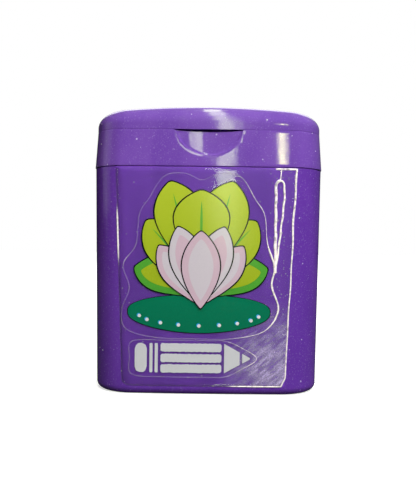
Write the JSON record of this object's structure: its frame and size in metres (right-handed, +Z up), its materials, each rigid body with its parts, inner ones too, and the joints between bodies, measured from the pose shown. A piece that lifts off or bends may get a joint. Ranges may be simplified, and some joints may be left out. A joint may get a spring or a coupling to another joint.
{
  "type": "pencil sharpener",
  "caption": "Rounded-box pencil sharpener with a shavings container, a lift-off head that holds cone cutters for slim and thick pencils, and a hinged flip lid.",
  "frame": {"origin": "centre of the container's flat base, on the surface it stands on", "axes": "+Z up, -Y out of the front face with the finger scoop and label, +X to the right seen from the front"},
  "size_m": [0.0452, 0.0266, 0.0556],
  "materials": {
    "purple_plastic": "glossy moulded plastic with fine scuffs",
    "insert_plastic": "fine satin moulded plastic",
    "blade_steel": "ground and brushed",
    "screw_steel": "zinc plated",
    "clear_film": "clear gloss film",
    "motif_print": "printed film, gloss",
    "mark_print": "printed film, gloss"
  },
  "bodies": {
    "container": {"container": "purple_plastic", "label_film": "clear_film", "motif_decal": "motif_print", "mark_decal": "mark_print"},
    "head": {"head": "purple_plastic", "standard_insert": "insert_plastic", "jumbo_insert": "insert_plastic", "standard_blade": "blade_steel", "jumbo_blade": "blade_steel", "standard_blade_screw": "screw_steel", "jumbo_blade_screw": "screw_steel"},
    "lid": {"flip_lid": "purple_plastic"}
  },
  "joints": [
    {"name": "head_lift", "type": "slide", "parent": "container", "child": "head", "axis": [0, 0, 1], "range_m": [0, 0.045]},
    {"name": "lid_hinge", "type": "hinge", "parent": "head", "child": "lid", "pos_m": [0, 0.0125, 0.0506], "axis": [-1, 0, 0], "range_deg": [0, 165]}
  ]
}
